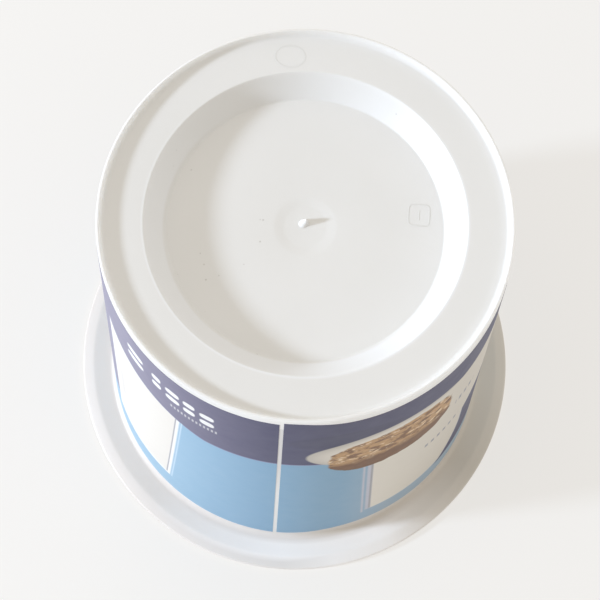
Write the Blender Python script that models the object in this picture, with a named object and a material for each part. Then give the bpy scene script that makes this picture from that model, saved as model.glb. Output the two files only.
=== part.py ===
"""Plastic food cup, one thin-walled moulding, standing upside down on its rim.

Metres, +Z up. The origin is at the middle of the rim's resting face and +Z is the cup's axis,
pointing at the closed base.
"""
import math

import bmesh
import bpy

# Driving sizes, in millimetres, heights measured from the rim's resting face
MM = 0.001
SEGMENTS = 72
WALL_T = 0.60
BASE_T = 0.70

HEEL_R = 34.20
HEEL_Z = 87.90
FOOT_TOP_Z = 88.80
FOOT_LIP_R = 33.68
LIP_FOOT_R = 33.20
LIP_FOOT_Z = 87.70
RING_OUTER_R = 31.70
RING_Z = 87.62
RECESS_TOP_R = 26.57
RECESS_FLOOR_R = 23.12
RECESS_FLOOR_Z = 83.90

DISH_R = 4.80
DISH_DEPTH = 0.20
NUB_R = 0.95
NUB_TOP_R = 0.40
NUB_HEIGHT = 1.30

WALL_FOOT_R = 40.32
WALL_FOOT_Z = 3.63
FLANGE_Z = 1.95
FLANGE_FLAT_R = 45.20
RIM_R = 47.70
RIM_EDGE_Z = 1.10


def rounded_path(corners, step_deg=30.0):
    """Turn (radius, height, rounding) corners into a polyline with the corners rounded."""
    points = []
    last = len(corners) - 1
    for index, (r, z, rounding) in enumerate(corners):
        if rounding <= 0.0 or index in (0, last):
            points.append((r, z))
            continue
        before = corners[index - 1]
        after = corners[index + 1]
        ax, az = before[0] - r, before[1] - z
        bx, bz = after[0] - r, after[1] - z
        la, lb = math.hypot(ax, az), math.hypot(bx, bz)
        ax, az, bx, bz = ax / la, az / la, bx / lb, bz / lb
        between = math.acos(max(-1.0, min(1.0, ax * bx + az * bz)))
        reach = rounding / math.tan(between / 2.0)
        middle = math.hypot(ax + bx, az + bz)
        away = rounding / math.sin(between / 2.0)
        cx = r + (ax + bx) / middle * away
        cz = z + (az + bz) / middle * away
        start = math.atan2(z + az * reach - cz, r + ax * reach - cx)
        end = math.atan2(z + bz * reach - cz, r + bx * reach - cx)
        turn = (end - start + math.pi) % (2.0 * math.pi) - math.pi
        steps = max(1, math.ceil(abs(math.degrees(turn)) / step_deg))
        for k in range(steps + 1):
            angle = start + turn * k / steps
            points.append((cx + rounding * math.cos(angle), cz + rounding * math.sin(angle)))
    return points


def wall_radius(z):
    """Outside radius of the tapered wall at a height."""
    share = (HEEL_Z - z) / (HEEL_Z - WALL_FOOT_Z)
    return HEEL_R + (WALL_FOOT_R - HEEL_R) * share


def outside_corners():
    """Gate nub, recessed base, foot lip, wall and rim, from the axis outwards."""
    dish_z = RECESS_FLOOR_Z - DISH_DEPTH
    return [
        (0.0, dish_z + NUB_HEIGHT, 0.0),
        (NUB_TOP_R, dish_z + NUB_HEIGHT, 0.2),
        (NUB_R, dish_z, 0.0),
        (DISH_R - 0.7, dish_z, 0.0),
        (DISH_R, RECESS_FLOOR_Z, 0.0),
        (RECESS_FLOOR_R, RECESS_FLOOR_Z, 0.5),
        (RECESS_TOP_R, RING_Z, 0.4),
        (RING_OUTER_R, RING_Z, 0.0),
        (LIP_FOOT_R, LIP_FOOT_Z, 0.8),
        (FOOT_LIP_R, FOOT_TOP_Z, 0.2),
        (wall_radius(FOOT_TOP_Z), FOOT_TOP_Z, 0.3),
        (WALL_FOOT_R, WALL_FOOT_Z, 0.0),
        (wall_radius(FLANGE_Z) + 0.10, FLANGE_Z, 1.3),
        (FLANGE_FLAT_R, FLANGE_Z, 2.5),
        (RIM_R, RIM_EDGE_Z, 0.55),
        (RIM_R, 0.0, 0.25),
    ]


def inside_corners():
    """Resting face, inner wall and the inner side of the base, back to the axis."""
    under_ring = RING_Z - BASE_T
    return [
        (wall_radius(0.0) - WALL_T, 0.0, 0.7),
        (wall_radius(under_ring) - WALL_T, under_ring, 1.2),
        (RECESS_TOP_R - 0.35, under_ring, 0.6),
        (RECESS_FLOOR_R - 0.35, RECESS_FLOOR_Z - BASE_T, 0.6),
        (0.0, RECESS_FLOOR_Z - BASE_T, 0.0),
    ]


def lathe(name, profile):
    """Revolve a profile that starts and ends on the axis into one closed body."""
    bm = bmesh.new()
    rings = []
    for r, z in profile:
        if r < 1e-6:
            rings.append([bm.verts.new((0.0, 0.0, z * MM))])
            continue
        ring = []
        for k in range(SEGMENTS):
            angle = 2.0 * math.pi * k / SEGMENTS
            ring.append(bm.verts.new((r * MM * math.cos(angle), r * MM * math.sin(angle), z * MM)))
        rings.append(ring)
    for upper, lower in zip(rings, rings[1:]):
        for k in range(SEGMENTS):
            n = (k + 1) % SEGMENTS
            if len(upper) == 1:
                bm.faces.new((upper[0], lower[k], lower[n]))
            elif len(lower) == 1:
                bm.faces.new((upper[k], lower[0], upper[n]))
            else:
                bm.faces.new((upper[k], lower[k], lower[n], upper[n]))
    bmesh.ops.recalc_face_normals(bm, faces=bm.faces)
    mesh = bpy.data.meshes.new(name)
    bm.to_mesh(mesh)
    bm.free()
    for polygon in mesh.polygons:
        polygon.use_smooth = True
    obj = bpy.data.objects.new(name, mesh)
    bpy.context.collection.objects.link(obj)
    return obj


def plastic(name, color, roughness):
    """Plain moulded plastic."""
    mat = bpy.data.materials.new(name)
    mat.use_nodes = True
    shader = mat.node_tree.nodes["Principled BSDF"]
    shader.inputs["Base Color"].default_value = (*color, 1.0)
    shader.inputs["Roughness"].default_value = roughness
    shader.inputs["Metallic"].default_value = 0.0
    return mat


# Clear the scene
for old in list(bpy.data.objects):
    bpy.data.objects.remove(old, do_unlink=True)

# The cup
cup = lathe("cup", rounded_path(outside_corners() + inside_corners()))
cup.data.materials.append(plastic("cup_plastic", (0.86, 0.86, 0.84), 0.38))
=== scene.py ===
"""Plastic food cup standing upside down on its rim, dressed for its picture."""

import math

import bmesh
import bpy
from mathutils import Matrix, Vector


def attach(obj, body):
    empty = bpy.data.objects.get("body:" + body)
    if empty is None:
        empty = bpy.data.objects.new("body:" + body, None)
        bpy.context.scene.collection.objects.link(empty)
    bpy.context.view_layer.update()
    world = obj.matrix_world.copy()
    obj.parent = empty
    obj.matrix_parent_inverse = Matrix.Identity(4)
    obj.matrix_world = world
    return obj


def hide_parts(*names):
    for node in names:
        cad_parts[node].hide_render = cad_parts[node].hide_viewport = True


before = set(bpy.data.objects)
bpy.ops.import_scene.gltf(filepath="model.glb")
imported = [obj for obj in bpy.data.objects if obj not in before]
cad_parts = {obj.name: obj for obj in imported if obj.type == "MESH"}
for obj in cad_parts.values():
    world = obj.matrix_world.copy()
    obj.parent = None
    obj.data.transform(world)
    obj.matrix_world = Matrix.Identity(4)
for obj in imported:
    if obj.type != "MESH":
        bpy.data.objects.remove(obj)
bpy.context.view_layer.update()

MM = 0.001

# Sizes of the cup, in millimetres, heights measured from the rim's resting face
SEGMENTS = 360
WALL_T = 0.60
BASE_T = 0.70
HEEL_R = 34.20
HEEL_Z = 87.90
FOOT_TOP_Z = 88.80
FOOT_LIP_R = 33.68
LIP_FOOT_R = 33.20
LIP_FOOT_Z = 87.70
RING_OUTER_R = 31.70
RING_Z = 87.62
RECESS_TOP_R = 26.57
RECESS_FLOOR_R = 23.12
RECESS_FLOOR_Z = 83.90
DISH_R = 4.80
DISH_DEPTH = 0.20
WALL_FOOT_R = 40.32
WALL_FOOT_Z = 3.63
FLANGE_Z = 1.95
FLANGE_FLAT_R = 45.20
RIM_R = 47.70
RIM_EDGE_Z = 1.10

# Turn between two faces, in radians, above which their shared edge is drawn sharp
SHARP_TURN = 0.8

# Gate nub on the dish
NUB_HEIGHT = 1.35
NUB_SUNK = 0.05
NUB_R = 0.64
NUB_STEPS = 14
NUB_SIDES = 40

# Moulding marks on the base
MARK_SIDES = 10
RING_MARK_PLACE = (-4.85, 29.15)
RING_MARK_WIDTH = 0.34
RING_MARK_HEIGHT = 0.015
FLOOR_MARK_PLACE = (18.75, 3.6)
FLOOR_MARK_HEIGHT = 0.022
FLOOR_MARK_WIDTH = 0.30

# Label film, angles in degrees from the near side (-Y), positive towards +X
LABEL_TOP_Z = 86.45
LABEL_PROUD = 0.04
LABEL_SUNK = 0.03
LABEL_COLUMNS = 358
LABEL_ROWS = 24
SEAM_LEFT = -2.65
SEAM_RIGHT = -1.50

# Places of the printed fields, in degrees round the wall and millimetres up it
BAND_Z = 62.2
BACK_BAND_Z = 13.2
FRAME_Z = 13.6
LEFT_PANEL_START = -65.3
LEFT_PANEL_Z = 14.9
RIGHT_PANEL_Z = 15.3
RIGHT_PANEL_TOP_Z = 60.0
PLATE_AZ = 34.0
PLATE_Z = 66.9
BREAD_AZ = 31.3
BREAD_Z = 63.3

# Printed colours, and lit and shaded copies of them that paint light and shade on the label
NAVY = (0.056, 0.057, 0.132)
# Navy lightened by a painted sheen, for the left of the label
NAVY_SHEEN = (0.240, 0.225, 0.310)
DARK_NAVY = (0.038, 0.040, 0.095)
PURPLE_EDGE = (0.235, 0.170, 0.330)
SKY = (0.213, 0.394, 0.578)
# Sky lightened by painted light, for the left of the label
SKY_LIT = (0.297, 0.468, 0.608)
GREY_SKY = (0.322, 0.430, 0.535)
LEFT_CREAM = (0.735, 0.697, 0.645)
CREAM = (0.752, 0.712, 0.640)
# Cream darkened by painted shade, for the far right of the panel
CREAM_SHADE = (0.662, 0.620, 0.555)
PLATE_CREAM = (0.760, 0.715, 0.650)
PLATE_SHADE = (0.510, 0.480, 0.440)
WHITE = (0.790, 0.785, 0.780)
GREY = (0.330, 0.320, 0.350)
PALE_BLUE = (0.520, 0.650, 0.760)
LILAC = (0.520, 0.540, 0.630)
INK = (0.190, 0.200, 0.290)

# Crispbread colours
CRUST_BROWN = (0.325, 0.165, 0.058)
CRUST_TAN = (0.690, 0.430, 0.205)
CRUST_PIT = (0.205, 0.090, 0.024)
CRUST_FLOUR = (0.790, 0.600, 0.400)
SIDE_DARK = (0.105, 0.032, 0.002)
SIDE_BROWN = (0.225, 0.098, 0.024)

# Tones of the plastic, several of them painted light and shade on the recess slope, the rim and the heel
MILK = (0.800, 0.798, 0.787)
BRIGHT_MILK = (0.845, 0.843, 0.837)
DUST = (0.34, 0.31, 0.28)
# Painted light for the near part of the recess slope
SLOPE_LIT = (0.880, 0.890, 0.905)
GAP_GREY = (0.690, 0.680, 0.680)
FLANGE_SHADE = (0.770, 0.747, 0.732)
# Painted light on the front of the flange's flat
FLANGE_LIT = (0.950, 0.932, 0.925)
# Painted shade on the flange on the left, behind and on the right
FLANGE_FAR_SHADE = (0.730, 0.680, 0.640)
FLANGE_RIGHT_SHADE = (0.595, 0.556, 0.500)
FLANGE_FAR_RIGHT_SHADE = (0.680, 0.648, 0.595)
WALL_FOOT_SHADE = (0.670, 0.625, 0.575)
# Painted shade on the heel's left and painted light on its right
HEEL_SHADE = (0.700, 0.690, 0.665)
HEEL_LIT = (0.945, 0.945, 0.945)

# Floor, room light, window light and camera
FLOOR_HALF_SIZE = 3.0
FLOOR_GREY = (0.31, 0.31, 0.31, 1.0)
FLOOR_GLOW_COLOR = (1.0, 0.980, 0.950, 1.0)
FLOOR_GLOW = 0.60
ROOM_COLOR = (1.0, 0.950, 0.870, 1.0)
KEY_SIZE = 0.105
KEY_ENERGY = 8.9
KEY_COLOR = (0.74, 0.845, 1.0)
KEY_ELEVATION = math.radians(18.3)
KEY_AZIMUTH = math.radians(13.0)
KEY_DISTANCE = 0.95
KEY_AIM_Z = 0.06
CAMERA_LENS = 79.158
CAMERA_PLACE = (0.0, -0.0768816, 0.2894064)
CAMERA_TURN = (17.26499, -1.35604, 4.30860)


def rounded_path(corners, step_deg=9.0):
    """Turn (radius, height, rounding) corners into a polyline with the corners rounded."""
    points = []
    last = len(corners) - 1
    for index, (r, z, rounding) in enumerate(corners):
        if rounding <= 0.0 or index in (0, last):
            points.append((r, z))
            continue
        before = corners[index - 1]
        after = corners[index + 1]
        ax, az = before[0] - r, before[1] - z
        bx, bz = after[0] - r, after[1] - z
        la, lb = math.hypot(ax, az), math.hypot(bx, bz)
        ax, az, bx, bz = ax / la, az / la, bx / lb, bz / lb
        between = math.acos(max(-1.0, min(1.0, ax * bx + az * bz)))
        reach = rounding / math.tan(between / 2.0)
        middle = math.hypot(ax + bx, az + bz)
        away = rounding / math.sin(between / 2.0)
        cx = r + (ax + bx) / middle * away
        cz = z + (az + bz) / middle * away
        start = math.atan2(z + az * reach - cz, r + ax * reach - cx)
        end = math.atan2(z + bz * reach - cz, r + bx * reach - cx)
        turn = (end - start + math.pi) % (2.0 * math.pi) - math.pi
        steps = max(1, math.ceil(abs(math.degrees(turn)) / step_deg))
        for k in range(steps + 1):
            angle = start + turn * k / steps
            points.append((cx + rounding * math.cos(angle), cz + rounding * math.sin(angle)))
    return points


def wall_radius(z):
    """Outside radius of the tapered wall at a height."""
    share = (HEEL_Z - z) / (HEEL_Z - WALL_FOOT_Z)
    return HEEL_R + (WALL_FOOT_R - HEEL_R) * share


def cup_profile():
    """The cup's section, down its outer side and back up its inner side."""
    dish_z = RECESS_FLOOR_Z - DISH_DEPTH
    under_ring = RING_Z - BASE_T
    corners = [
        (0.0, dish_z, 0.0),
        (DISH_R - 1.2, dish_z, 4.0),
        (DISH_R + 0.4, RECESS_FLOOR_Z, 4.0),
        (14.0, RECESS_FLOOR_Z, 0.0),
        (RECESS_FLOOR_R, RECESS_FLOOR_Z, 0.5),
        (RECESS_TOP_R, RING_Z, 0.4),
        (RING_OUTER_R, RING_Z, 10.0),
        (LIP_FOOT_R, LIP_FOOT_Z, 0.8),
        (FOOT_LIP_R, FOOT_TOP_Z, 0.2),
        (wall_radius(FOOT_TOP_Z), FOOT_TOP_Z, 0.3),
        (wall_radius(60.0), 60.0, 0.0),
        (wall_radius(30.0), 30.0, 0.0),
        (WALL_FOOT_R, WALL_FOOT_Z, 0.0),
        (wall_radius(FLANGE_Z) + 0.10, FLANGE_Z, 1.3),
        (FLANGE_FLAT_R, FLANGE_Z, 2.5),
        (RIM_R, RIM_EDGE_Z, 0.55),
        (RIM_R, 0.0, 0.25),
        (wall_radius(0.0) - WALL_T, 0.0, 0.7),
        (wall_radius(40.0) - WALL_T, 40.0, 0.0),
        (wall_radius(under_ring) - WALL_T, under_ring, 1.2),
        (RECESS_TOP_R - 0.35, under_ring, 0.6),
        (RECESS_FLOOR_R - 0.35, RECESS_FLOOR_Z - BASE_T, 0.6),
        (0.0, RECESS_FLOOR_Z - BASE_T, 0.0),
    ]
    return rounded_path(corners)


def add_object(name, bm, material):
    """Make an object of a bmesh, with its normals outwards and its corners crisp."""
    bmesh.ops.recalc_face_normals(bm, faces=bm.faces)
    bm.normal_update()
    for edge in bm.edges:
        edge.smooth = edge.calc_face_angle(0.0) < SHARP_TURN
    mesh = bpy.data.meshes.new(name)
    bm.to_mesh(mesh)
    bm.free()
    for polygon in mesh.polygons:
        polygon.use_smooth = True
    obj = bpy.data.objects.new(name, mesh)
    bpy.context.collection.objects.link(obj)
    obj.data.materials.append(material)
    return obj


def join_rings(bm, first, second):
    """Faces between two rings with the same number of points."""
    count = len(first)
    for k in range(count):
        n = (k + 1) % count
        bm.faces.new((first[k], first[n], second[n], second[k]))


def polar(r, azimuth, z):
    """Point at a radius, an angle from the near side and a height, in metres."""
    a = math.radians(azimuth)
    return Vector((r * math.sin(a), -r * math.cos(a), z)) * MM


def lathe(name, profile, material):
    """Revolve a profile that starts and ends on the axis into one closed body."""
    bm = bmesh.new()
    rings = []
    for r, z in profile:
        if r < 1e-6:
            rings.append([bm.verts.new((0.0, 0.0, z * MM))])
        else:
            rings.append([bm.verts.new(polar(r, 360.0 * k / SEGMENTS, z)) for k in range(SEGMENTS)])
    for upper, lower in zip(rings, rings[1:]):
        for k in range(SEGMENTS):
            n = (k + 1) % SEGMENTS
            if len(upper) == 1:
                bm.faces.new((upper[0], lower[k], lower[n]))
            elif len(lower) == 1:
                bm.faces.new((upper[k], lower[0], upper[n]))
            else:
                bm.faces.new((upper[k], lower[k], lower[n], upper[n]))
    return add_object(name, bm, material)


def label_top(azimuth):
    """Height of the label's upper edge, which was wrapped a little askew."""
    raised_end = 1.0 * math.exp(-(((azimuth - 2.0) / 9.0) ** 2))
    dip = 1.5 * math.exp(-(((azimuth - 80.0) / 38.0) ** 2))
    return LABEL_TOP_Z + raised_end - dip


def label_low(azimuth):
    """Height of the label's lower edge, which rises on the right."""
    start = 1.0 / (1.0 + math.exp(-(azimuth - 10.0) / 4.5))
    end = 1.0 / (1.0 + math.exp((azimuth - 58.0) / 9.0))
    return WALL_FOOT_Z + 3.2 * start * end


def label_sheet(name, material):
    """Printed film round the wall, with a gap between its two ends."""
    span = 360.0 - (SEAM_RIGHT - SEAM_LEFT)
    bm = bmesh.new()
    outer, inner = [], []
    for k in range(LABEL_COLUMNS + 1):
        azimuth = SEAM_RIGHT + span * k / LABEL_COLUMNS
        top = label_top(azimuth)
        low = label_low(azimuth)
        heights = [top + (low - top) * j / LABEL_ROWS for j in range(LABEL_ROWS + 1)]
        outer.append([bm.verts.new(polar(wall_radius(z) + LABEL_PROUD, azimuth, z)) for z in heights])
        inner.append([bm.verts.new(polar(wall_radius(z) - LABEL_SUNK, azimuth, z)) for z in heights])
    for k in range(LABEL_COLUMNS):
        for j in range(LABEL_ROWS):
            bm.faces.new((outer[k][j], outer[k][j + 1], outer[k + 1][j + 1], outer[k + 1][j]))
            bm.faces.new((inner[k][j], inner[k + 1][j], inner[k + 1][j + 1], inner[k][j + 1]))
        bm.faces.new((outer[k][0], outer[k + 1][0], inner[k + 1][0], inner[k][0]))
        bm.faces.new((outer[k][-1], inner[k][-1], inner[k + 1][-1], outer[k + 1][-1]))
    for k in (0, LABEL_COLUMNS):
        for j in range(LABEL_ROWS):
            bm.faces.new((outer[k][j], inner[k][j], inner[k][j + 1], outer[k][j + 1]))
    return add_object(name, bm, material)


def leaning_nub(name, material):
    """Rest of the moulding's gate, tapering and leaning a little."""
    bm = bmesh.new()
    rings = []
    for step in range(NUB_STEPS + 1):
        share = step / NUB_STEPS
        radius = NUB_R * (1.0 - share**1.7) ** 0.75 + 0.28 * math.exp(-10.0 * share) + 0.04
        lift = RECESS_FLOOR_Z - DISH_DEPTH - NUB_SUNK + NUB_HEIGHT * share
        ring = []
        for k in range(NUB_SIDES):
            a = 2.0 * math.pi * k / NUB_SIDES
            wander = 1.0 + 0.07 * math.sin(2.0 * a + 3.0 * share)
            x = -0.35 + 0.40 * share + radius * wander * math.cos(a)
            y = 0.60 + 0.25 * share + radius * wander * math.sin(a)
            ring.append(bm.verts.new((x * MM, y * MM, lift * MM)))
        rings.append(ring)
    for lower, upper in zip(rings, rings[1:]):
        join_rings(bm, lower, upper)
    bm.faces.new(rings[-1])
    bm.faces.new(rings[0])
    return add_object(name, bm, material)


def outline(x, y, half_x, half_y, power, count):
    """Points round an oval, or round a squarer field with a higher power."""
    points = []
    for k in range(count):
        a = 2.0 * math.pi * k / count
        c, s = math.cos(a), math.sin(a)
        grow = (abs(c) ** power + abs(s) ** power) ** (-1.0 / power)
        points.append((x + half_x * grow * c, y + half_y * grow * s))
    return points


def low_ridge(name, points, width, height, surface_z, closed, material):
    """A rounded ridge along a line on the base, mostly sunk in the plastic."""
    bm = bmesh.new()
    count = len(points)
    rings = []
    for index, (x, y) in enumerate(points):
        before = points[(index - 1) % count] if closed or index else points[0]
        after = points[(index + 1) % count] if closed or index < count - 1 else points[-1]
        along = Vector((after[0] - before[0], after[1] - before[1]))
        along.normalize()
        side = Vector((-along.y, along.x))
        ring = []
        for k in range(MARK_SIDES):
            a = 2.0 * math.pi * k / MARK_SIDES
            off = side * (width / 2.0 * math.cos(a))
            ring.append(bm.verts.new(Vector((x + off.x, y + off.y, surface_z + height * math.sin(a))) * MM))
        rings.append(ring)
    pairs = list(zip(rings, rings[1:]))
    if closed:
        pairs.append((rings[-1], rings[0]))
    else:
        bm.faces.new(rings[0])
        bm.faces.new(rings[-1])
    for first, second in pairs:
        join_rings(bm, first, second)
    return add_object(name, bm, material)


class Graph:
    """Short names for building the nodes of a material or a world."""

    def __init__(self, owner):
        owner.use_nodes = True
        self.owner = owner
        self.nodes = owner.node_tree.nodes
        self.links = owner.node_tree.links

    def put(self, socket, value):
        """Give a socket a number, a colour or another node's output."""
        if isinstance(value, bpy.types.NodeSocket):
            self.links.new(value, socket)
        elif isinstance(value, tuple) and len(value) == 3 and socket.type == "RGBA":
            socket.default_value = (*value, 1.0)
        else:
            socket.default_value = value

    def math(self, operation, a, b=0.0, c=0.0, clamp=False):
        node = self.nodes.new("ShaderNodeMath")
        node.operation = operation
        node.use_clamp = clamp
        for socket, value in zip(node.inputs, (a, b, c)):
            self.put(socket, value)
        return node.outputs[0]

    def fold(self, operation, values):
        """One operation over any number of values."""
        result = values[0]
        for value in values[1:]:
            result = self.math(operation, result, value)
        return result

    def add(self, *values):
        return self.fold("ADD", values)

    def mul(self, *values):
        return self.fold("MULTIPLY", values)

    def least(self, *values):
        return self.fold("MINIMUM", values)

    def most(self, *values):
        return self.fold("MAXIMUM", values)

    def sub(self, a, b):
        return self.math("SUBTRACT", a, b)

    def scaled(self, value, scale, offset):
        return self.math("MULTIPLY_ADD", value, scale, offset)

    def power(self, value, exponent):
        return self.math("POWER", value, exponent)

    def inside(self, distance, soft):
        """1 where a distance is above zero, with an edge as wide as soft."""
        return self.math("MULTIPLY_ADD", distance, 1.0 / soft, 0.5, clamp=True)

    def above(self, value, limit, soft):
        return self.inside(self.sub(value, limit), soft)

    def below(self, value, limit, soft):
        return self.inside(self.sub(limit, value), soft)

    def near(self, value, middle, reach, soft):
        """1 where a value is within reach of a middle."""
        return self.below(self.math("ABSOLUTE", self.sub(value, middle)), reach, soft)

    def ramp(self, value, low, high):
        """0 up to low, 1 from high, straight between; low may be the larger."""
        node = self.nodes.new("ShaderNodeMapRange")
        self.put(node.inputs["Value"], value)
        node.inputs["From Min"].default_value = low
        node.inputs["From Max"].default_value = high
        return node.outputs[0]

    def mix(self, share, a, b):
        node = self.nodes.new("ShaderNodeMix")
        node.data_type = "RGBA"
        self.put(node.inputs[0], share)
        self.put(node.inputs[6], a)
        self.put(node.inputs[7], b)
        return node.outputs[2]

    def noise(self, vector, scale, detail=3.0, roughness=0.5):
        node = self.nodes.new("ShaderNodeTexNoise")
        self.put(node.inputs["Vector"], vector)
        node.inputs["Scale"].default_value = scale
        node.inputs["Detail"].default_value = detail
        node.inputs["Roughness"].default_value = roughness
        return node.outputs[0]

    def bump(self, height, strength, distance, normal=None):
        node = self.nodes.new("ShaderNodeBump")
        node.inputs["Strength"].default_value = strength
        node.inputs["Distance"].default_value = distance
        self.put(node.inputs["Height"], height)
        if normal is not None:
            self.put(node.inputs["Normal"], normal)
        return node.outputs[0]

    def xyz(self, vector):
        """The three parts of a vector."""
        split = self.nodes.new("ShaderNodeSeparateXYZ")
        self.put(split.inputs[0], vector)
        return split.outputs

    def place(self):
        """Object coordinates, and the angle, height and radius that they come to."""
        self.coords = self.nodes.new("ShaderNodeTexCoord").outputs["Object"]
        x, y, z = self.xyz(self.coords)
        turn = self.math("ARCTAN2", x, self.mul(y, -1.0))
        radius = self.math("SQRT", self.add(self.mul(x, x), self.mul(y, y)))
        self.azimuth = self.mul(turn, 180.0 / math.pi)
        self.height = self.mul(z, 1.0 / MM)
        self.radius = self.mul(radius, 1.0 / MM)

    def box(self, left, right, low, high, soft=0.35):
        """Mask of a field between two angles and two heights."""
        across = self.least(self.sub(self.azimuth, left), self.sub(right, self.azimuth))
        up = self.least(self.sub(self.height, low), self.sub(high, self.height))
        return self.inside(self.least(self.mul(across, 0.65), up), soft)

    def rounded(self, middle_az, middle_z, half_az, half_z, power, wobble=0.0, height=None):
        """How far inside a rounded field a point lies, 1 in its middle and 0 at its edge."""
        height = self.height if height is None else height
        across = self.math("ABSOLUTE", self.mul(self.sub(self.azimuth, middle_az), 1.0 / half_az))
        up = self.math("ABSOLUTE", self.mul(self.sub(height, middle_z), 1.0 / half_z))
        return self.sub(1.0, self.add(self.power(across, power), self.power(up, power), wobble))


def recess_tones(g, tone):
    """Dust specks in clusters in the recess, and painted light whitening the near part of its sloping wall.
    """
    specks = g.nodes.new("ShaderNodeTexVoronoi")
    specks.inputs["Scale"].default_value = 420.0
    specks.inputs["Randomness"].default_value = 1.0
    g.put(specks.inputs["Vector"], g.coords)
    clusters = g.math("GREATER_THAN", g.noise(g.coords, 75.0, 1.0), 0.56)
    in_recess = g.mul(g.above(g.height, 83.0, 0.2), g.below(g.radius, 26.0, 1.0))
    dots = g.below(specks.outputs["Distance"], 0.062, 0.06)
    tone = g.mix(g.mul(dots, clusters, in_recess, 0.42), tone, DUST)
    # painted light on the near part of the recess slope
    lit_slope = g.mul(g.above(g.height, 84.4, 0.4), g.below(g.radius, 26.9, 0.4))
    lit_slope = g.mul(lit_slope, g.near(g.azimuth, 0.0, 125.0, 50.0))
    return g.mix(lit_slope, tone, SLOPE_LIT)


def seam_tone(g, tone):
    """Greyer wall in the upper part of the gap between the label's ends."""
    in_gap = g.near(g.azimuth, -2.0, 0.9, 0.2)
    upper_wall = g.mul(g.above(g.height, 50.0, 20.0), g.below(g.height, 87.0, 1.0))
    on_wall = g.above(g.radius, 33.6, 0.3)
    return g.mix(g.mul(in_gap, upper_wall, on_wall), tone, GAP_GREY)


def rim_tones(g, tone):
    """Flange and foot of the wall, duller on the right and by the wall with painted shade, and with painted
    light on the flat at the front.
    """
    rise = g.mul(g.above(g.azimuth, 10.0, 16.0), g.below(g.azimuth, 66.0, 36.0))
    at_rim = g.below(g.height, g.scaled(rise, 4.4, 3.4), 1.6)
    flat = g.near(g.radius, 43.9, 1.9, 1.2)
    flat_edge = g.mul(g.above(g.radius, 44.0, 1.0), g.above(g.azimuth, 8.0, 14.0))
    # painted light on the flange's flat at the front, painted shade beside it
    near_tone = g.mix(g.most(flat, flat_edge), FLANGE_SHADE, FLANGE_LIT)
    rim_tone = g.mix(g.near(g.azimuth, 14.0, 34.0, 40.0), FLANGE_FAR_SHADE, near_tone)
    # painted shade on the right of the flange, where the cup casts its shadow
    right_shade = g.mix(g.above(g.azimuth, 72.0, 26.0), FLANGE_RIGHT_SHADE, FLANGE_FAR_RIGHT_SHADE)
    rim_tone = g.mix(g.near(g.azimuth, 98.0, 52.0, 30.0), rim_tone, right_shade)
    # painted shade on the foot of the wall on the right
    wall_foot = g.mul(rise, g.below(g.radius, 41.2, 0.8))
    rim_tone = g.mix(wall_foot, rim_tone, WALL_FOOT_SHADE)
    return g.mix(at_rim, tone, rim_tone)


def heel_tones(g, tone):
    """Bare heel above the label, greyer on the left than on the right, with painted shade on the left and
    painted light on the right.
    """
    on_heel = g.mul(g.above(g.height, 84.0, 0.5), g.above(g.radius, 33.95, 0.2))
    on_heel = g.mul(on_heel, g.near(g.azimuth, 0.0, 100.0, 30.0))
    # painted shade on the left of the heel, painted light on the right
    heel_tone = g.mix(g.above(g.azimuth, -12.0, 40.0), HEEL_SHADE, HEEL_LIT)
    return g.mix(on_heel, tone, heel_tone)


def white_plastic():
    """Milky moulded polypropylene with a fine mould texture and a little grime, and painted light and shade
    on the recess slope, the rim and the heel.
    """
    g = Graph(bpy.data.materials.new("cup_plastic"))
    g.place()
    cloud = g.noise(g.coords, 60.0, 4.0)
    tone = g.mix(cloud, MILK, BRIGHT_MILK)
    for dress in (recess_tones, seam_tone, rim_tones, heel_tones):
        tone = dress(g, tone)
    shader = g.nodes["Principled BSDF"]
    g.put(shader.inputs["Base Color"], tone)
    thin_lip = g.above(g.height, LIP_FOOT_Z + 0.25, 0.5)
    g.put(shader.inputs["Subsurface Weight"], g.scaled(thin_lip, 0.45, 0.08))
    shader.inputs["Subsurface Radius"].default_value = (0.0022, 0.0021, 0.0020)
    shader.inputs["Subsurface Scale"].default_value = 1.0
    g.put(shader.inputs["Roughness"], g.scaled(g.noise(g.coords, 420.0, 3.0), 0.16, 0.34))
    grain = g.bump(g.noise(g.coords, 2600.0, 2.0), 0.10, 0.00002)
    waves = g.noise(g.coords, 120.0, 2.0)
    g.put(shader.inputs["Normal"], g.bump(waves, 0.12, 0.00015, grain))
    return g.owner


def panel_far_edge(g):
    """Angle of the right panel's far edge, drawn in at the foot and flaring at the top."""
    corner = g.power(g.mul(g.most(g.sub(33.0, g.height), 0.0), 1.0 / 15.0), 2.0)
    flare = g.least(g.mul(g.most(g.sub(g.height, 40.0), 0.0), 2.0), 25.0)
    return g.add(g.sub(60.7, g.mul(corner, 5.5)), flare)


def band_bottom(g):
    """Height of the navy band's lower edge, which climbs on the left."""
    climb = g.mul(g.most(g.sub(-24.0, g.azimuth), 0.0), 0.235)
    return g.add(BAND_Z, climb)


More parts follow.
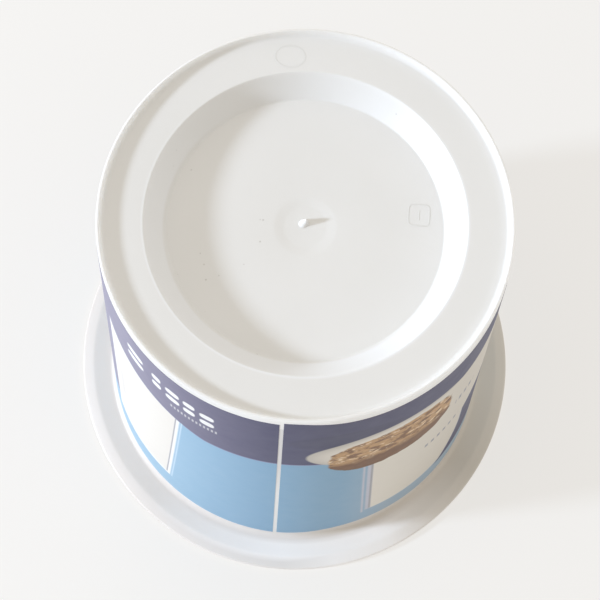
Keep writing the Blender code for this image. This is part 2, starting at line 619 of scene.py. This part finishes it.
def printed_fields(g):
    """Navy band with a darker wave in it, sky field below, and navy round the back. A painted sheen
    lightens the navy and the sky on the left.
    """
    from_left = g.ramp(g.azimuth, -140.0, -72.0)
    # painted sheen: the navy lightens towards the left
    navy = g.mix(g.mul(from_left, g.ramp(g.azimuth, -4.0, -53.0)), NAVY, NAVY_SHEEN)
    wave = g.inside(g.rounded(17.0, 76.0, 17.0, 4.2, 2.0), 0.25)
    navy = g.mix(g.mul(wave, 0.45), navy, DARK_NAVY)
    # painted light: the sky lightens towards the left
    sky = g.mix(g.mul(from_left, g.ramp(g.azimuth, -6.0, -42.0)), SKY, SKY_LIT)
    to_right = g.mul(g.ramp(g.azimuth, 16.0, 32.0), g.ramp(g.azimuth, 120.0, 75.0))
    sky = g.mix(to_right, sky, GREY_SKY)

    upper = g.above(g.height, band_bottom(g), 0.35)
    turn = g.add(g.azimuth, g.mul(g.math("LESS_THAN", g.azimuth, 0.0), 360.0))
    back_bottom = g.add(BACK_BAND_Z, g.mul(g.ramp(turn, 90.0, 280.0), 7.3))
    beyond = g.most(g.below(g.azimuth, -64.5, 0.5), g.above(g.azimuth, panel_far_edge(g), 2.0))
    back = g.mul(beyond, g.above(g.height, back_bottom, 0.7))
    color = g.mix(g.most(upper, back), sky, navy)

    edge = g.near(g.height, band_bottom(g), 0.22, 0.3)
    edge = g.mul(edge, g.near(g.azimuth, 0.0, 64.0, 1.0))
    return g.mix(g.mul(edge, 0.7), color, PURPLE_EDGE)


def left_panel(g, color):
    """Cream panel on the left with its frame lines."""
    top = g.sub(band_bottom(g), 0.3)
    edge = g.sub(-33.7, g.mul(g.sub(64.0, g.height), 0.112))
    color = g.mix(g.box(LEFT_PANEL_START - 0.6, g.add(edge, 1.55), FRAME_Z, top), color, WHITE)
    color = g.mix(g.box(LEFT_PANEL_START, edge, LEFT_PANEL_Z, top), color, LEFT_CREAM)
    color = g.mix(g.box(edge, g.add(edge, 0.45), LEFT_PANEL_Z, top, 0.2), color, GREY)
    fine_line = g.box(g.add(edge, 2.1), g.add(edge, 2.5), FRAME_Z, band_bottom(g), 0.3)
    return g.mix(fine_line, color, PALE_BLUE)


def shaded_right_cream(g):
    """Cream of the right panel, darkened away from the seam by painted shade."""
    return g.mix(g.ramp(g.azimuth, 30.0, 56.0), CREAM, CREAM_SHADE)


def right_panel(g, color):
    """Cream panel on the right with its frame lines, open to the plate above it."""
    edge = g.add(24.9, g.mul(g.sub(54.0, g.height), 0.046))
    far_edge = panel_far_edge(g)
    top = RIGHT_PANEL_TOP_Z
    color = g.mix(g.box(g.sub(edge, 2.75), g.sub(edge, 2.1), FRAME_Z, top), color, LILAC)
    color = g.mix(g.box(g.sub(edge, 1.4), g.add(far_edge, 0.4), 15.0, top), color, LILAC)
    # the cream carries painted shade away from the seam
    color = g.mix(g.box(g.add(edge, 0.3), far_edge, RIGHT_PANEL_Z, top + 2.0), color, shaded_right_cream(g))
    return g.mix(g.box(g.sub(edge, 0.3), g.add(edge, 0.25), 15.6, top), color, GREY)


def plate(g, color):
    """Pale plate, shaded at its left end and running into the right panel."""
    field = g.rounded(PLATE_AZ, PLATE_Z, 28.8, 8.8, 2.0)
    shade = g.mix(g.ramp(field, 0.0, 0.45), PLATE_SHADE, PLATE_CREAM)
    color = g.mix(g.inside(field, 0.06), color, shade)
    far_end = g.inside(g.rounded(70.0, 60.2, 26.0, 13.0, 2.0), 0.04)
    return g.mix(g.most(g.box(PLATE_AZ, 70.0, 56.0, 73.2), far_end), color, shaded_right_cream(g))


def crispbread(g, color):
    """Crispbread lying on the plate, with a rough lit top and a darker side."""
    ragged = g.mul(g.sub(g.noise(g.coords, 420.0, 4.0), 0.5), 0.45)
    slanted = g.add(g.height, g.mul(g.sub(g.azimuth, 30.0), -0.04))
    bread = g.inside(g.rounded(BREAD_AZ, BREAD_Z, 19.9, 9.3, 2.6, ragged, slanted), 0.10)
    stretched = g.nodes.new("ShaderNodeMapping")
    stretched.inputs["Scale"].default_value = (1.0, 1.0, 1.3)
    g.put(stretched.inputs["Vector"], g.coords)
    crumb = stretched.outputs[0]
    crust = g.mix(g.noise(crumb, 700.0, 4.0, 0.7), CRUST_BROWN, CRUST_TAN)
    crust = g.mix(g.above(g.noise(crumb, 420.0, 3.0), 0.53, 0.10), crust, CRUST_PIT)
    crust = g.mix(g.above(g.noise(crumb, 560.0, 2.0), 0.61, 0.08), crust, CRUST_FLOUR)
    side = g.mix(g.noise(crumb, 620.0, 4.0, 0.6), SIDE_DARK, SIDE_BROWN)
    is_top = g.above(g.add(slanted, g.mul(ragged, 9.0)), 60.6, 3.0)
    return g.mix(bread, color, g.mix(is_top, side, crust))


def bars_and_ticks(g, color):
    """Plain stacked bars and rows of ticks where the real label has words."""
    for middle, height, half_az in (
        (-23.0, 75.8, 2.2),
        (-28.6, 76.6, 1.9),
        (-34.2, 76.9, 2.4),
        (-40.0, 77.6, 1.7),
        (-49.0, 77.6, 3.6),
    ):
        for shift in (1.75, -1.75):
            bar = g.inside(g.rounded(middle, height + shift, half_az, 1.15, 3.0), 0.5)
            color = g.mix(bar, color, WHITE)
    ticks = g.inside(g.math("SINE", g.mul(g.azimuth, 5.2)), 1.2)
    color = g.mix(g.mul(ticks, g.box(-35.4, -19.8, 70.4, 71.7), 0.6), color, WHITE)
    ticks = g.inside(g.math("SINE", g.mul(g.add(g.azimuth, 0.02), 2.6)), 0.9)
    rows = g.most(g.box(43.4, 58.0, 42.4, 44.2), g.box(54.0, 63.0, 56.2, 58.6))
    color = g.mix(g.mul(ticks, rows, 0.75), color, INK)
    return g.mix(g.mul(g.box(-60.8, -59.6, 33.0, 48.0, 1.5), 0.35), color, GREY)


def printed_label():
    """The label's printed fields: two blues, two pale panels and a crispbread on a plate, with painted
    sheen on the left and painted shade on the right.
    """
    g = Graph(bpy.data.materials.new("cup_label"))
    g.place()
    color = printed_fields(g)
    for draw in (left_panel, right_panel, plate, crispbread, bars_and_ticks):
        color = draw(g, color)
    shader = g.nodes["Principled BSDF"]
    g.put(shader.inputs["Base Color"], color)
    g.put(shader.inputs["Roughness"], g.scaled(g.noise(g.coords, 300.0, 3.0), 0.12, 0.36))
    shader.inputs["Specular IOR Level"].default_value = 0.20
    peel = g.noise(g.coords, 900.0, 2.0)
    g.put(shader.inputs["Normal"], g.bump(peel, 0.08, 0.00004))
    return g.owner


def floor_paint():
    """Matt pale floor that glows a little, so that the shadow on it stays faint."""
    g = Graph(bpy.data.materials.new("studio_floor"))
    shader = g.nodes["Principled BSDF"]
    shader.inputs["Base Color"].default_value = FLOOR_GREY
    shader.inputs["Roughness"].default_value = 0.9
    shader.inputs["Specular IOR Level"].default_value = 0.0
    shader.inputs["Emission Color"].default_value = FLOOR_GLOW_COLOR
    shader.inputs["Emission Strength"].default_value = FLOOR_GLOW
    return g.owner


def dressed(obj, *nodes):
    """Hang a piece on the cup's one body, in the place of the solid's nodes that are named."""
    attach(obj, "root")
    if nodes:
        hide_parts(*nodes)


def mould_marks(material):
    """Faint raised marks: an oval on the foot ring, a framed bar on the recess floor."""
    oval = outline(*RING_MARK_PLACE, 2.55, 2.05, 2.0, 72)
    dressed(low_ridge("mould_oval", oval, RING_MARK_WIDTH, RING_MARK_HEIGHT, RING_Z, True, material))
    x, y = FLOOR_MARK_PLACE
    lines = (
        ("mould_frame", outline(x, y, 1.75, 1.85, 6.0, 64), True),
        ("mould_bar", [(x, y - 0.9), (x, y + 0.9)], False),
    )
    for name, points, closed in lines:
        size = (FLOOR_MARK_WIDTH, FLOOR_MARK_HEIGHT, RECESS_FLOOR_Z)
        dressed(low_ridge(name, points, *size, closed, material))


def pale_floor():
    """Plain floor under the cup."""
    bm = bmesh.new()
    bmesh.ops.create_grid(bm, x_segments=1, y_segments=1, size=FLOOR_HALF_SIZE)
    floor = add_object("studio_floor", bm, floor_paint())


def window_light():
    """Low cool window light from the left."""
    towards_key = Vector(
        (
            -math.cos(KEY_AZIMUTH) * math.cos(KEY_ELEVATION),
            -math.sin(KEY_AZIMUTH) * math.cos(KEY_ELEVATION),
            math.sin(KEY_ELEVATION),
        )
    )
    key_data = bpy.data.lights.new("window", "AREA")
    key_data.shape = "DISK"
    key_data.size = KEY_SIZE
    key_data.energy = KEY_ENERGY
    key_data.color = KEY_COLOR
    key = bpy.data.objects.new("window", key_data)
    key.location = Vector((0.0, 0.0, KEY_AIM_Z)) + towards_key * KEY_DISTANCE
    key.rotation_mode = "QUATERNION"
    key.rotation_quaternion = towards_key.to_track_quat("Z", "Y")
    bpy.context.collection.objects.link(key)


def room_light():
    """Warm room light, a little brighter overhead and from behind the cup."""
    world = bpy.data.worlds.new("room")
    g = Graph(world)
    x, y, z = g.xyz(g.nodes.new("ShaderNodeTexCoord").outputs["Generated"])
    rise = g.scaled(g.most(z, 0.0), 0.06, 0.715)
    lean = g.add(g.scaled(x, 0.04, 1.0), g.mul(y, 0.26))
    background = g.nodes["Background"]
    background.inputs["Color"].default_value = ROOM_COLOR
    g.put(background.inputs["Strength"], g.mul(rise, lean))
    bpy.context.scene.world = world
    bpy.context.scene.view_settings.view_transform = "Standard"


def photo_camera():
    """Camera at the photograph's viewing angle."""
    camera_data = bpy.data.cameras.new("camera")
    camera_data.lens = CAMERA_LENS
    camera_data.sensor_width = 36.0
    camera_data.clip_start = 0.01
    camera_data.clip_end = 20.0
    camera = bpy.data.objects.new("camera", camera_data)
    camera.location = CAMERA_PLACE
    camera.rotation_euler = [math.radians(turn) for turn in CAMERA_TURN]
    bpy.context.collection.objects.link(camera)
    bpy.context.scene.camera = camera


# The cup and its label
plastic = white_plastic()
dressed(lathe("moulded_cup", cup_profile(), plastic), "cup")
dressed(label_sheet("wall_label", printed_label()))
dressed(leaning_nub("gate_nub", plastic))
mould_marks(plastic)

# The picture's setting
pale_floor()
window_light()
room_light()
photo_camera()
